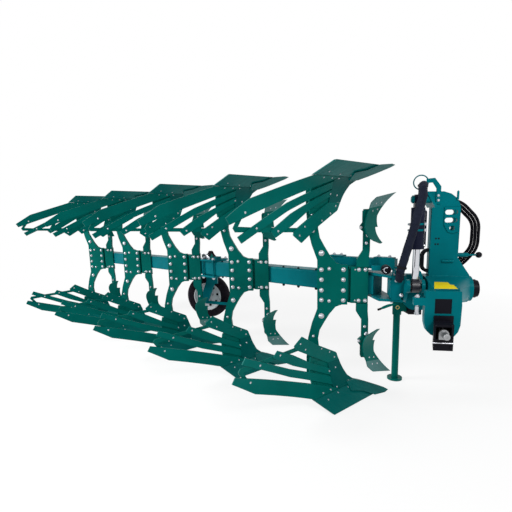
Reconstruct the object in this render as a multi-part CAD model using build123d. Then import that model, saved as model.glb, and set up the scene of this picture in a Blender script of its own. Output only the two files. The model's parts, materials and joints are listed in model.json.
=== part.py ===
# Five-furrow reversible mounted moldboard plough with slatted mouldboards.
#
# Drafting frame, in millimetres: +X is the direction of travel, +Y the left hand side, +Z up.
# Its origin lies on the front leg plate, on the mirror plane half way between the lower
# and the upper bodies. The turnover axis runs along X in that plane. At the very end the
# whole model is moved so that the origin is the middle of its base.
#
# A plough body is drawn once, as the lower body of the front leg. Its mirror image in the
# plane Z = 0 is the upper body, and the legs behind repeat it one pitch apart.
import math
import os
from build123d import *

# ---------------------------------------------------------------- driving dimensions
body_count = 5
body_pitch = 950.0            # along the beam, leg to leg
beam_angle = 31.0             # beam against the direction of travel, degrees

beam_size = 150.0             # square tube
beam_wall = 10.0
beam_offset = 265.0           # front leg plate to the beam's centre line, square to the beam
beam_front_x = 400.0          # front end of the centre line
beam_tail = 150.0             # beam left behind the last leg bracket

turn_axis_y = -87.0           # turnover axis, seen from the front leg plate

# legs
leg_thickness = 30.0
leg_rear_x = -31.0
leg_front_x = 190.0
leg_half_height = 148.0

# leg brackets
bracket_plate = 15.0
bracket_half_height = 135.0
bracket_front_x = 248.0

# mouldboard surface: a cylinder whose straight lines lie flat and cross the travel at
# this angle; its section is a straight share, an arc and a straight top
line_angle = 49.7
share_slope = 33.0            # degrees from the ground
share_foot_v = 296.0          # lower edge of the share, square to the lines
ground_depth = 858.0          # the lowest tip, below the turnover axis
tip_drop = 6.0                # the tip below the share's cutting edge
share_height = 78.0           # the share's straight face, from its edge to where the arc begins
leg_foot_height = 54.0        # the leg's foot above the share's top
board_height = 474.0          # the top of the mouldboard's section above the share's top
share_edge_depth = ground_depth - tip_drop
share_top_depth = share_edge_depth - share_height
leg_foot_depth = share_top_depth - leg_foot_height
board_top_depth = share_top_depth - board_height
curve_radius = 290.0
top_slope = 95.0              # degrees from the ground at the top of the arc

share_thickness = 12.0
point_thickness = 22.0
board_thickness = 9.0
frog_thickness = 12.0
frog_rib_height = 160.0       # along the leg, up from its foot
frog_rib_thickness = 18.0
brace_thickness = 8.0

# skimmers
skimmer_plate_thickness = 15.0
skimmer_plate_x = (212.0, 336.0)
shank_thickness = 30.0
shank_tang_thickness = 20.0
skimmer_radius = 239.0
skimmer_centre = (531.0, 474.0)   # square to the lines, and below the axis
skimmer_thickness = 8.0

# turnover shaft, crank and cylinder
shaft_radius = 50.0
shaft_clearance = 0.4
hub_radius = 120.0
housing_radius = 85.0
housing_front_x = 985.0
cap_front_x = 1030.0
nose_front_x = 965.0
crank_pin_y = -215.0
crank_pin_z = 35.0
cylinder_x = 612.0
cylinder_top_z = 596.0
barrel_radius = 42.0
barrel_bore_radius = 34.0
rod_radius = 22.0
rod_clearance = 0.4
rod_top_z = 500.0
barrel_foot_z = 280.0
barrel_top_z = 545.0
top_pin_radius = 17.5
pin_clearance = 0.4
cylinder_lug_width = 50.0
bracket_slab = 16.0           # thickness of the slanting plate that carries the cylinder
eye_radius = 42.0
eye_width = 46.0
crank_pin_radius = 20.0
pin_gap = 2.0
cheek_thickness = 20.0
crank_front_x = cylinder_x + eye_width / 2 + 11 + pin_gap     # faces of the cheeks beside the pin
crank_rear_x = cylinder_x - eye_width / 2 - 11 - pin_gap

# console
console_rear_x = 470.0
console_plate = 18.0
link_bar_z = 118.0
link_bar_height = 78.0
link_bar_width = 50.0
link_bar_offset = 240.0
link_bar_rear_x = 65.0
link_bar_front_x = 520.0

# headstock
headstock_rear_x = 684.0
headstock_front_x = 830.0
side_plate_rear_x = 626.0
side_plate_thickness = 50.0
headstock_half_width = 363.0      # from the turnover axis to the outer face of a side plate
side_plate_foot_z = -232.0
side_plate_top_z = 48.0
tube_mouth = (679.0, 774.0, -89.0, 2.0)      # square mouth of the cross tube: X, X, Z, Z
mast_rear_x = 716.0
mast_knee_z = 550.0               # above it the rear edge slants back to the head
mast_head_x = 666.0
mast_head_z = 648.0
mast_face_x = 890.0               # the upright front edge
mast_foot_x = 967.0               # the front of the foot
mast_width = 76.0
mast_plate = 12.0
web_thickness = 14.0              # of the webs between the mast's plates
hose_block_width = 54.0
hose_radius = 9.5
sleeve_radius = 27.0
hose_gap = 16.0                   # between the hoses' centre lines, along Y
doubler_plate = 8.0
top_link_hole = (842.0, 407.0)      # X and Z
top_link_slots = ((834.0, 510.0), (833.0, 458.0))
slot_length = 76.0
link_half_width = 482.5           # turnover axis to the shoulder of a lower link pin
link_pin_radius = 18.3
link_pin_length = 55.0
link_flange_radius = 27.0         # the upright plate behind a pin's shoulder, round at its top
link_flange_foot = 32.0           # its flat foot below the pin
link_pin_x = 705.0
link_pin_z = -180.0
top_link_radius = 16.0

# parking stand
stand_x = 600.0
stand_offset = 69.0           # beside the left side plate
stand_y = turn_axis_y + headstock_half_width + stand_offset
stand_radius = 27.0
stand_clearance = 0.4
stand_foot_radius = 60.0

# lever at the front of the mast
lever_z = 226.0
lever_tip_x = 1012.0
lever_radius = 6.0
lever_tube_radius = 14.0
knob_radius = 20.0

# depth wheel
wheel_x = -1300.0
wheel_y = 1235.0
wheel_z = -357.0
wheel_radius = 244.0
wheel_width = 110.0
rim_radius = 155.0
wheel_clamp_x = -1140.0       # where the clamp sits on the beam's centre line
wheel_pivot_x = -1218.0
wheel_pivot_z = -150.0
wheel_arm_y = 1092.0          # near face of the arm
wheel_arm_thickness = 50.0
wheel_pin_radius = 20.0
axle_radius = 25.0

# ---------------------------------------------------------------- small helpers
beam_dir = Vector(-math.cos(math.radians(beam_angle)), math.sin(math.radians(beam_angle)), 0)
beam_nrm = Vector(math.sin(math.radians(beam_angle)), math.cos(math.radians(beam_angle)), 0)
line_dir = Vector(-math.cos(math.radians(line_angle)), -math.sin(math.radians(line_angle)), 0)
line_nrm = Vector(math.sin(math.radians(line_angle)), -math.cos(math.radians(line_angle)), 0)

section_plane = Plane(origin=(0, 0, 0), x_dir=line_nrm, z_dir=line_dir)    # (v, z), extruded along u
face_plane = Plane(origin=(0, 0, 0), x_dir=line_dir, z_dir=line_nrm)       # (u, depth)


def at_body(shape, index):
    """A piece of the front body moved to leg number index, counted from the front."""
    step = beam_dir * (body_pitch * index)
    return shape.moved(Location((step.X, step.Y, 0)))


def upper(shape):
    """The mirror image of a lower piece, on the upper side."""
    return mirror(shape, about=Plane.XY)


def pair(shape):
    """A lower piece and its upper mirror image, as solids that do not touch."""
    return [shape, upper(shape)]


def box(x0, x1, y0, y1, z0, z1):
    """A block between two corners."""
    centre = ((x0 + x1) / 2, (y0 + y1) / 2, (z0 + z1) / 2)
    return Pos(*centre) * Box(abs(x1 - x0), abs(y1 - y0), abs(z1 - z0))


def plate_xz(points, y0, y1):
    """A plate with an outline in X and Z, from y0 to y1."""
    face = Plane.XZ.offset(-y0) * make_face(Polyline(*points, close=True))
    return extrude(face, amount=-(y1 - y0))


def plate_yz(points, x0, x1):
    """A plate with an outline in Y and Z, from x0 to x1."""
    face = Plane.YZ.offset(x0) * make_face(Polyline(*points, close=True))
    return extrude(face, amount=x1 - x0)


def plate_xy(points, z0, z1):
    """A plate with an outline in X and Y, from z0 to z1."""
    face = Plane.XY.offset(z0) * make_face(Polyline(*points, close=True))
    return extrude(face, amount=z1 - z0)


def rod_x(y, z, x0, x1, radius):
    """A round bar along X."""
    return Plane.YZ.offset(x0) * Pos(y, z) * Cylinder(radius, x1 - x0, align=(Align.CENTER, Align.CENTER, Align.MIN))


def rod_y(x, z, y0, y1, radius):
    """A round bar along Y."""
    return Plane.XZ.offset(-y0) * Pos(x, z) * Cylinder(radius, y1 - y0, align=(Align.CENTER, Align.CENTER, Align.MAX))


def rod_z(x, y, z0, z1, radius):
    """A round bar along Z."""
    return Pos(x, y, z0) * Cylinder(radius, z1 - z0, align=(Align.CENTER, Align.CENTER, Align.MIN))


def along_s(x):
    """Distance behind the front leg of the point of the beam's centre line at this X."""
    return (beam_offset * math.sin(math.radians(beam_angle)) - x) / math.cos(math.radians(beam_angle))


def along_beam(distance, offset):
    """X and Y of a point: distance behind the front leg's foot point on the beam line, offset square to it."""
    point = beam_dir * distance + beam_nrm * offset
    return point.X, point.Y


# ---------------------------------------------------------------- mouldboard surface
def board_curve(depth_in):
    """The section of the mouldboard, depth_in behind its working face, from the ground up."""
    slope = math.radians(share_slope)
    top = math.radians(top_slope)
    radius = curve_radius + depth_in
    start_v = share_foot_v - (share_edge_depth - share_top_depth) / math.tan(slope)
    centre_v = start_v + curve_radius * math.sin(slope)
    centre_z = -share_top_depth + curve_radius * math.cos(slope)

    def on_arc(angle):
        return centre_v - radius * math.sin(angle), centre_z - radius * math.cos(angle)

    low = on_arc(slope)
    mid = on_arc((slope + top) / 2)
    high = on_arc(top)
    foot_run = (share_edge_depth - share_top_depth + 40.0) / math.sin(slope)
    foot = (low[0] + foot_run * math.cos(slope), low[1] - foot_run * math.sin(slope))
    rise = -board_top_depth + 20.0 - high[1]
    head = (high[0] - rise / math.tan(top), high[1] + rise)
    return foot, low, mid, high, head


def board_shell(front, back):
    """The mouldboard surface thickened from front to back behind the working face."""
    a = board_curve(front)
    b = board_curve(back)
    outline = (Line(a[0], a[1]) + ThreePointArc(a[1], a[2], a[3]) + Line(a[3], a[4]) + Line(a[4], b[4])
               + Line(b[4], b[3]) + ThreePointArc(b[3], b[2], b[1]) + Line(b[1], b[0]) + Line(b[0], a[0]))
    face = section_plane * make_face(outline)
    return extrude(face, amount=1300, both=True)


def in_front(depth_in):
    """Everything in front of the surface that lies depth_in behind the working face."""
    a = board_curve(depth_in)
    far = a[0][0] + 600
    outline = (Line(a[0], a[1]) + ThreePointArc(a[1], a[2], a[3]) + Line(a[3], a[4])
               + Line(a[4], (far, a[4][1])) + Line((far, a[4][1]), (far, a[0][1])) + Line((far, a[0][1]), a[0]))
    return extrude(section_plane * make_face(outline), amount=1300, both=True)


def cut_out(shell, points):
    """The piece of a shell inside an outline given along the lines and down from the axis."""
    prism = extrude(face_plane * make_face(Polyline(*points, close=True)), amount=900, both=True)
    return shell & prism


def up_from(datum, outline):
    """An outline given along the lines and up from a depth, as distances along the lines and depths."""
    return [(u, datum - height) for u, height in outline]


point_outline = (up_from(ground_depth, [(-426, 4), (-372, 0)])
                 + up_from(share_edge_depth, [(-262, 4), (-190, 40), (-92, 60)])
                 + up_from(share_top_depth, [(-118, 26), (-205, 22), (-268, -1)])
                 + up_from(share_edge_depth, [(-330, 50), (-405, 15)]))
share_outline = (up_from(share_edge_depth, [(-262, 3), (195, 0)])
                 + up_from(share_top_depth, [(266, 4), (-205, 4)]))
breast_outline = up_from(share_top_depth, [(-240, 6), (-205, 21), (-172, 52), (-155, 124), (-146, 171), (-21, 171),
                                           (-16, 134), (-6, 90), (-1, 80), (22, 34), (28, 24), (-22, 6)])
slat_outlines = {
    "a": [(-17, 6), (30, 22), (843, 304), (866, 264), (700, 153), (255, 6)],
    "b": [(0, 81), (23, 35), (383, 174), (793, 377), (768, 416), (375, 229)],
    "c": [(-15, 134), (-5, 90), (346, 245), (533, 353), (495, 396), (343, 324), (161, 217)],
    "d": [(-145, 172), (-20, 172), (329, 360), (337, 389), (265, 443), (92, 339), (-118, 233), (-128, 222)],
}
frog_outline = up_from(share_top_depth, [(-120, 214), (150, 254), (190, 74), (190, -26), (-160, -26), (-130, 74)])
spacer_outline = up_from(share_top_depth, [(-118, 174), (120, 214), (150, 84), (150, 7), (-125, 7)])
brace_outline = up_from(share_top_depth, [(225, 344), (225, 374), (800, 349), (815, 324), (745, 222), (722, 236),
                                          (778, 316), (640, 326)])


def plain_point():
    return cut_out(board_shell(-point_thickness + share_thickness, share_thickness), point_outline)


def plain_share():
    share = cut_out(board_shell(0, share_thickness), share_outline)
    return share - plain_point()


def plain_breast():
    return cut_out(board_shell(0, board_thickness), breast_outline) - plain_point()


def plain_slat(name):
    return cut_out(board_shell(0, board_thickness), up_from(share_top_depth, slat_outlines[name]))


def plain_brace():
    return cut_out(board_shell(board_thickness, board_thickness + brace_thickness), brace_outline)


leg_rear_edge = [(-31, -187), (-72, -300), (-101, -419), (-112, -560), (-112, -leg_foot_depth)]
leg_front_edge = [(-5, -leg_foot_depth), (-10, -560), (-25, -420), (-12, -350), (20, -290), (60, -222),
                  (105, -166), (150, -leg_half_height)]


def plain_leg():
    lower = leg_rear_edge + leg_front_edge
    top = [(x, -z) for x, z in reversed(lower)]
    return plate_xz(lower + [(leg_front_x, -leg_half_height), (leg_front_x, leg_half_height)] + top,
                    0, leg_thickness)


def plain_frog():
    back = cut_out(board_shell(share_thickness, share_thickness + frog_thickness), frog_outline)
    rib_top = -leg_foot_depth + frog_rib_height
    ribs = [box(-112, 260, leg_thickness, leg_thickness + frog_rib_thickness, -leg_foot_depth, rib_top),
            box(-112, 260, -frog_rib_thickness, 0, -leg_foot_depth, rib_top)]
    solid = back
    for rib in ribs:
        solid = solid + (rib - in_front(share_thickness + frog_thickness / 2))
    return solid - plain_leg()


def spacer_blocks():
    """Thin packing that brings the breast and the slat roots to the frog's plate."""
    return cut_out(board_shell(board_thickness, share_thickness), spacer_outline) - plain_point()


# ---------------------------------------------------------------- leg bracket
def plain_bracket():
    near = beam_offset - beam_size / 2
    spine_rear = along_beam(0, near)
    def on_face(x, offset):
        y = (offset - math.sin(math.radians(beam_angle)) * x) / math.cos(math.radians(beam_angle))
        return (x, y)
    spine = plate_xy([on_face(leg_rear_x, near), on_face(bracket_front_x, near),
                      on_face(bracket_front_x, near - bracket_plate), on_face(leg_rear_x, near - bracket_plate)],
                     -bracket_half_height, bracket_half_height)
    web_outline = [(leg_rear_x, leg_thickness + bracket_plate / 2), (leg_front_x, leg_thickness + bracket_plate / 2),
                   (leg_front_x + 10, skimmer_plate_thickness), (bracket_front_x, skimmer_plate_thickness),
                   on_face(bracket_front_x, near - bracket_plate / 2), on_face(leg_rear_x, near - bracket_plate / 2)]
    webs = [plate_xy(web_outline, bracket_half_height - bracket_plate, bracket_half_height),
            plate_xy(web_outline, -bracket_half_height, -bracket_half_height + bracket_plate)]
    front = box(leg_rear_x, bracket_front_x, leg_thickness, leg_thickness + bracket_plate,
                -bracket_half_height, bracket_half_height)
    return spine + webs[0] + webs[1] + front


# ---------------------------------------------------------------- skimmers
def plain_skimmer_plate():
    return box(skimmer_plate_x[0], skimmer_plate_x[1], 0, skimmer_plate_thickness,
               -bracket_half_height, bracket_half_height)


def skimmer_shell(front, back):
    v, depth = skimmer_centre
    outer = Pos(v, -depth) * Circle(skimmer_radius + back)
    inner = Pos(v, -depth) * Circle(skimmer_radius + front)
    ring = extrude(section_plane * (outer - inner), amount=700, both=True)
    keep = section_plane * Pos(v - 200, -depth) * Rectangle(330, 420)
    return ring & extrude(keep, amount=700, both=True)


skimmer_board_outline = [(-150, 552), (-136, 511), (-122, 465), (-110, 420), (-108, 384), (-122, 347), (-160, 326),
                         (-205, 308), (-233, 312), (-226, 345), (-222, 376), (-224, 407), (-234, 447), (-250, 493),
                         (-272, 531), (-298, 572)]
skimmer_share_outline = [(-349, 658), (-298, 572), (-150, 552), (-146, 590), (-176, 626)]


def plain_skimmer_board():
    return cut_out(skimmer_shell(0, skimmer_thickness), skimmer_board_outline)


def plain_skimmer_share():
    return cut_out(skimmer_shell(0, skimmer_thickness), skimmer_share_outline)


def in_front_of_skimmer(depth_in):
    v, depth = skimmer_centre
    disc = Pos(v, -depth) * Circle(skimmer_radius + depth_in)
    return extrude(section_plane * disc, amount=700, both=True)


def plain_shank():
    """The skimmer's shank with its seat for the board and the lug of its side bolt."""
    foot = 545
    rear, front = 292, 342
    outline = [(252, -137), (336, -137), (336, -190), (front, -257), (front, -foot), (rear, -foot), (rear, -257),
               (252, -193)]
    blade = plate_xz(outline, -shank_thickness / 2 + 2, shank_thickness / 2 + 2)
    tang = box(254, 334, skimmer_plate_thickness, skimmer_plate_thickness + shank_tang_thickness, -150, -82)
    seat = box(rear, 410, -14, 18, -548, -420)
    lug = plate_xz([(rear + 2, -388), (268, -412), (268, -430), (286, -456), (286, -536), (rear + 2, -540)], -13, 17)
    return blade + tang + lug + (seat - in_front_of_skimmer(skimmer_thickness))


# ---------------------------------------------------------------- beam
def main_beam():
    front_s = along_s(beam_front_x)
    length = (body_count - 1) * body_pitch + beam_tail - front_s
    start = beam_dir * front_s + beam_nrm * beam_offset
    plane = Plane(origin=(start.X, start.Y, 0), x_dir=beam_nrm, z_dir=beam_dir)
    section = RectangleRounded(beam_size, beam_size, 16) - RectangleRounded(
        beam_size - 2 * beam_wall, beam_size - 2 * beam_wall, 8)
    tube = extrude(plane * section, amount=length)
    caps = extrude(plane * RectangleRounded(beam_size, beam_size, 16), amount=-12)
    tail = plane.offset(length) * RectangleRounded(beam_size, beam_size, 16)
    return tube + caps + extrude(tail, amount=8)


# ---------------------------------------------------------------- turnover crank and console
def crank():
    """Shaft, front cheek, counter web and rear cheek of the turnover crank."""
    front_x, rear_x = crank_front_x, crank_rear_x
    shaft = rod_x(turn_axis_y, 0, front_x, cap_front_x - 15, shaft_radius)
    disc = rod_x(turn_axis_y, 0, front_x, front_x + cheek_thickness, hub_radius)
    lobe = rod_x(crank_pin_y, crank_pin_z, front_x, front_x + cheek_thickness, 45)
    rear = rod_x(turn_axis_y, 0, rear_x - cheek_thickness, rear_x, 95)
    rear_lobe = rod_x(crank_pin_y, crank_pin_z, rear_x - cheek_thickness, rear_x, 45)
    web = box(rear_x, front_x, turn_axis_y - 30, turn_axis_y + 75, -100, -28)
    return shaft + disc + lobe + rear + rear_lobe + web


def console():
    """The head that joins the crank's rear cheek to the front end of the beam."""
    rear_x = crank_rear_x - cheek_thickness
    half = beam_size / 2
    neck = box(console_rear_x, rear_x, turn_axis_y - 60, turn_axis_y + 95, -62, 62)
    top = plate_xy([(console_rear_x, -150), (545, -150), (545, 10), (330, 190), (250, 130), (330, 60)],
                   half, half + console_plate)
    bottom = plate_xy([(374, -35), (400, -110), (rear_x - 2, -140), (rear_x - 2, 10), (480, 100), (455, 212),
                       (350, 190), (300, 120), (350, 50)], -half - console_plate, -half)
    post = box(console_rear_x + 10, 540, -150, -30, -half - 1, half + 1)
    tower = box(500, 540, -110, -40, half - 1, link_bar_z)
    return neck + top + bottom + post + tower


def link_bar():
    """The bar above the beam that ties the console's tower to the beam's clamp, with the wear plates on it."""
    def on_bar(x):
        return (link_bar_offset * math.sin(math.radians(beam_angle)) - x) / math.cos(math.radians(beam_angle))

    def length_of(x_front, x_rear, low, high, width):
        start = beam_dir * on_bar(x_front) + beam_nrm * link_bar_offset
        plane = Plane(origin=(start.X, start.Y, 0), x_dir=beam_nrm, z_dir=beam_dir)
        return extrude(plane * Pos(0, -(low + high) / 2) * Rectangle(width, high - low),
                       amount=on_bar(x_rear) - on_bar(x_front))

    top = link_bar_z + link_bar_height
    bar = length_of(link_bar_front_x, link_bar_rear_x, link_bar_z, top, link_bar_width)
    rear_plate = length_of(170, 75, top - 1, top + 9, link_bar_width + 16)
    front_plate = length_of(link_bar_front_x - 12, 385, top - 1, top + 9, link_bar_width + 4)
    post = length_of(link_bar_rear_x + 90, link_bar_rear_x + 20, beam_size / 2, link_bar_z + 1, link_bar_width)
    return bar + rear_plate + front_plate + post


# ---------------------------------------------------------------- headstock
mast_outline = [(mast_rear_x, 20), (mast_rear_x, mast_knee_z), (mast_head_x, mast_head_z), (785, mast_head_z - 4),
                (830, mast_head_z - 20), (862, 602), (882, 568), (mast_face_x + 1, 538), (mast_face_x, 212),
                (mast_foot_x, 96), (mast_foot_x, 20)]
half_mast = mast_width / 2
near_mast = turn_axis_y - half_mast
far_mast = turn_axis_y + half_mast


def top_link_cuts(y0, y1):
    """The round hole and the two slots for the top link's pin, from y0 to y1."""
    cuts = [rod_y(*top_link_hole, y0, y1, top_link_radius)]
    for x, z in top_link_slots:
        slot = Plane.XZ.offset(-y0) * Pos(x, z) * SlotOverall(slot_length, 2 * top_link_radius)
        cuts.append(extrude(slot, amount=-(y1 - y0)))
    return cuts


def mast():
    """The two plates of the mast."""
    made = []
    for y0 in (near_mast, far_mast - mast_plate):
        plate = plate_xz(mast_outline, y0, y0 + mast_plate)
        for cut in top_link_cuts(y0 - 5, y0 + mast_plate + 5):
            plate = plate - cut
        made.append(plate - headstock_beam() - housing())
    return made


def mast_webs():
    """The webs between the mast's plates, one with the lever's tube, and the two blocks that hold the hoses."""
    y0, y1 = near_mast + mast_plate, far_mast - mast_plate
    rear_web = box(mast_rear_x, mast_rear_x + web_thickness, y0, y1, 96, mast_knee_z - 5)
    rear_web = rear_web + rod_x(turn_axis_y, lever_z + 1, mast_rear_x + 9, mast_foot_x - 5, lever_tube_radius)
    rear_web = rear_web + rod_x(turn_axis_y, lever_z, mast_foot_x - 12, lever_tip_x, lever_radius)
    top_web = box(mast_rear_x - 10, 800, y0, y1, 610 - web_thickness, 610)
    upper_block = box(780, 812, far_mast, far_mast + hose_block_width, 542, 622)
    lower_block = box(mast_face_x - 75, mast_face_x - 40, far_mast, far_mast + hose_block_width, 96, 180)
    return [rear_web, top_web, upper_block, lower_block]


def doublers():
    """Thicker ground around the top link's holes, outside both plates."""
    outline = [(792, 541), (884, 541), (882, 384), (852, 374), (818, 382), (792, 430)]
    made = []
    for y0 in (near_mast - doubler_plate, far_mast):
        plate = plate_xz(outline, y0, y0 + doubler_plate)
        for cut in top_link_cuts(y0 - 5, y0 + doubler_plate + 5):
            plate = plate - cut
        made.append(plate)
    return made


def headstock_beam():
    """The cross beam between the side plates, its roof falling to both sides."""
    w = headstock_half_width - side_plate_thickness
    section = [(turn_axis_y - w, -110), (turn_axis_y - w, 52), (turn_axis_y - 63, 90), (turn_axis_y + 63, 90),
               (turn_axis_y + w, 52), (turn_axis_y + w, -110)]
    return plate_yz(section, headstock_rear_x, headstock_front_x)


def housing():
    """The bearing tube and the nose that narrows from the side plates to it."""
    w = headstock_half_width - side_plate_thickness
    r = housing_radius
    wide = [(turn_axis_y - w, -24), (turn_axis_y - w, 46), (turn_axis_y - 63, 89), (turn_axis_y + 63, 89),
            (turn_axis_y + w, 46), (turn_axis_y + w, -24), (turn_axis_y + 63, -100), (turn_axis_y - 63, -100)]
    slim = [(turn_axis_y - r, -36), (turn_axis_y - r, 36), (turn_axis_y - 36, r), (turn_axis_y + 36, r),
            (turn_axis_y + r, 36), (turn_axis_y + r, -36), (turn_axis_y + 36, -r), (turn_axis_y - 36, -r)]
    nose = loft([Plane.YZ.offset(headstock_front_x - 1) * make_face(Polyline(*wide, close=True)),
                 Plane.YZ.offset(nose_front_x) * make_face(Polyline(*slim, close=True))], ruled=True)
    return nose + rod_x(turn_axis_y, 0, headstock_rear_x - 10, housing_front_x, housing_radius)


def headstock_body():
    """The cross beam, the nose and the bearing tube, bored for the turnover shaft."""
    solid = headstock_beam() + housing()
    return solid - rod_x(turn_axis_y, 0, headstock_rear_x - 30, housing_front_x + 5, shaft_radius + shaft_clearance)


def side_plate(side):
    """A side plate with the square mouth of the cross tube; the right one has the lug of the turnover stop."""
    w = headstock_half_width
    y0 = turn_axis_y + side * (w - side_plate_thickness)
    y1 = turn_axis_y + side * w
    rear, front, foot = side_plate_rear_x, headstock_front_x, side_plate_foot_z
    outline = [(rear, side_plate_top_z), (front - 6, side_plate_top_z - 2), (front, -38), (front - 3, -160),
               (front - 14, -200), (front - 38, foot), (690, foot), (662, foot + 12), (rear + 10, -194),
               (rear - 2, -150), (rear - 4, -110)]
    plate = plate_xz(outline, min(y0, y1), max(y0, y1))
    x0, x1, z0, z1 = tube_mouth
    plate = plate - box(x0, x1, min(y0, y1) - 5, max(y0, y1) + 5, z0, z1)
    if side < 0:
        lug = box(560, rear + 5, y1, y1 + 40, -40, 6)
        plate = plate + lug - rod_z(584, y1 + 20, -60, 20, 11)
    return plate


def walls(rear_in, rear_out, front_out, front_in, z0, z1, y_in, y_out):
    """A block whose rear and front faces lean outwards between two distances from the mirror plane."""
    return plate_xy([(rear_in, y_in), (rear_out, y_out), (front_out, y_out), (front_in, y_in)], z0, z1)


def bracket_block(side):
    inner = turn_axis_y + side * headstock_half_width
    return walls(676, 653, 761, 772, -283, -128, inner, inner + side * 105)


def link_bracket(side):
    """The open iron pocket that carries a lower link pin, flaring outwards."""
    inner = turn_axis_y + side * headstock_half_width
    outer = inner + side * 105
    solid = bracket_block(side)
    back = box(676, 784, min(inner, inner + side * 12), max(inner, inner + side * 12), -232, -100)
    hollow = walls(683, 664, 749, 760, -216, -142, inner + side * 12, outer + side * 1)
    return solid + back - hollow


def link_pin(side):
    root = turn_axis_y + side * (headstock_half_width + 12)
    shoulder = turn_axis_y + side * link_half_width
    tip = shoulder + side * link_pin_length
    pin = rod_y(link_pin_x, link_pin_z, min(root, tip), max(root, tip), link_pin_radius)
    flange_y = shoulder - side * 14
    low, high = min(shoulder, flange_y), max(shoulder, flange_y)
    flange = rod_y(link_pin_x, link_pin_z, low, high, link_flange_radius)
    flange = flange + box(link_pin_x - link_flange_radius, link_pin_x + link_flange_radius, low, high,
                          link_pin_z - link_flange_foot, link_pin_z)
    return pin + flange


def end_caps():
    """Black caps: over the shaft's front end, in the mouths of the cross tube, and the lever's knob."""
    cap = rod_x(turn_axis_y, 0, housing_front_x, cap_front_x - 14, 62) + rod_x(turn_axis_y, 0, housing_front_x + 5,
                                                                           cap_front_x, 56)
    cap = cap - rod_x(turn_axis_y, 0, housing_front_x - 1, cap_front_x - 9, shaft_radius + shaft_clearance)
    x0, x1, z0, z1 = tube_mouth
    w, t = headstock_half_width, side_plate_thickness
    plugs = [box(x0, x1, turn_axis_y - w + 3, turn_axis_y - w + t, z0, z1),
             box(x0, x1, turn_axis_y + w - t, turn_axis_y + w - 3, z0, z1)]
    knob = Pos(lever_tip_x + 0.8 * knob_radius, turn_axis_y, lever_z) * Sphere(knob_radius)
    knob = knob - rod_x(turn_axis_y, lever_z, lever_tip_x - knob_radius, lever_tip_x, knob_radius + 5)
    return [cap] + plugs + [knob]


def cylinder_bracket():
    """The slanting plate behind the mast, with the boss and the pin that carry the cylinder."""
    dx, dz = mast_head_x - mast_rear_x, mast_head_z - mast_knee_z
    run = math.hypot(dx, dz)
    back_x, back_z = -dz / run * bracket_slab, dx / run * bracket_slab

    def inside_plate(z):
        return mast_rear_x + (z - mast_knee_z) * dx / dz + 0.53 * back_x

    edge = [(mast_head_x, mast_head_z), (mast_rear_x, mast_knee_z)]
    plate = plate_xz(edge + [(x + back_x, z + back_z) for x, z in reversed(edge)], -250, far_mast)
    front = cylinder_x + cylinder_lug_width / 2
    plate = plate - box(mast_head_x - 26, mast_head_x + 24, -260, near_mast, mast_head_z - 19, mast_head_z + 12)
    low, high = mast_knee_z - 150, mast_head_z + 102
    behind = plate_xz([(cylinder_x - 112, low), (inside_plate(low), low), (inside_plate(high), high),
                       (cylinder_x - 112, high)], -300, 0)
    boss = rod_x(crank_pin_y, cylinder_top_z, front + 4, mast_rear_x - 16, 27) & behind
    rear = cylinder_x - cylinder_lug_width / 2
    pin = rod_x(crank_pin_y, cylinder_top_z, rear - 20, front + 10, top_pin_radius)
    washer = rod_x(crank_pin_y, cylinder_top_z, rear - 14, rear - 4, 25)
    return plate + boss + pin + washer


def hose_arm():
    """The arm bolted to the mast that holds the hoses up with a ring."""
    y0 = near_mast - 8
    arm = plate_xz([(674, 727), (724, 731), (764, 676), (764, 566), (736, 566), (736, 664), (712, 702), (674, 700)],
                   y0, near_mast)
    ring = Pos(640, near_mast - 4, 706) * Rot(90, 0, 0) * Torus(45, 4)
    return arm + ring


def hose(points, bends, radius):
    """A hose along straight runs and round bends, through points given as (x, y, z)."""
    path = FilletPolyline(*points, radius=bends)
    start = path @ 0
    return sweep(Plane(origin=start, z_dir=path % 0) * Circle(radius), path=path)


def hoses():
    """Three oil hoses that loop in front of the mast, two over the ring and two small loops behind the mast."""
    made = []
    for k in range(3):
        y = far_mast + hose_radius + 0.5 + hose_gap * k
        high, low = 590 - 17 * k, 130 + 16 * k
        made.append(hose([(812, y, high), (908 - 7 * k, y, high), (1034 - 15 * k, y, 455 - 8 * k),
                          (1034 - 15 * k, y, 262 + 6 * k), (925 - 6 * k, y, low), (mast_face_x - 40, y, low)],
                         150 - 12 * k, hose_radius))
    for x, y0, z, y1 in ((643, -135.5, 692, far_mast + 11), (661, -139.5, 690, far_mast + 33)):
        made.append(hose([(x, y0, z), (x, y1, z), (736, y1, 594), (780, y1, 594)], 22, 8))
    for y in (-103, -79):
        made.append(hose([(mast_rear_x, y, 262), (675, y, 262), (675, y, 122), (mast_rear_x, y, 122)], 38, 11))
    return made


def hose_sleeve():
    """The cloth sleeve round the hoses of the turnover cylinder, over the ring and down to the console."""
    return hose([(653, -140, 684), (615, -314, 676), (612, -314, 590), (560, -314, 375), (503, -314, 150)],
                42, sleeve_radius)


def hose_stub():
    """The lower end of the sleeve, fixed on the console."""
    a, b = Vector(525, -140, 55), Vector(517, -224, 137)
    rod = Plane(origin=a, z_dir=(b - a)) * Cylinder(sleeve_radius, (b - a).length,
                                                    align=(Align.CENTER, Align.CENTER, Align.MIN))
    return rod - console()


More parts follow.
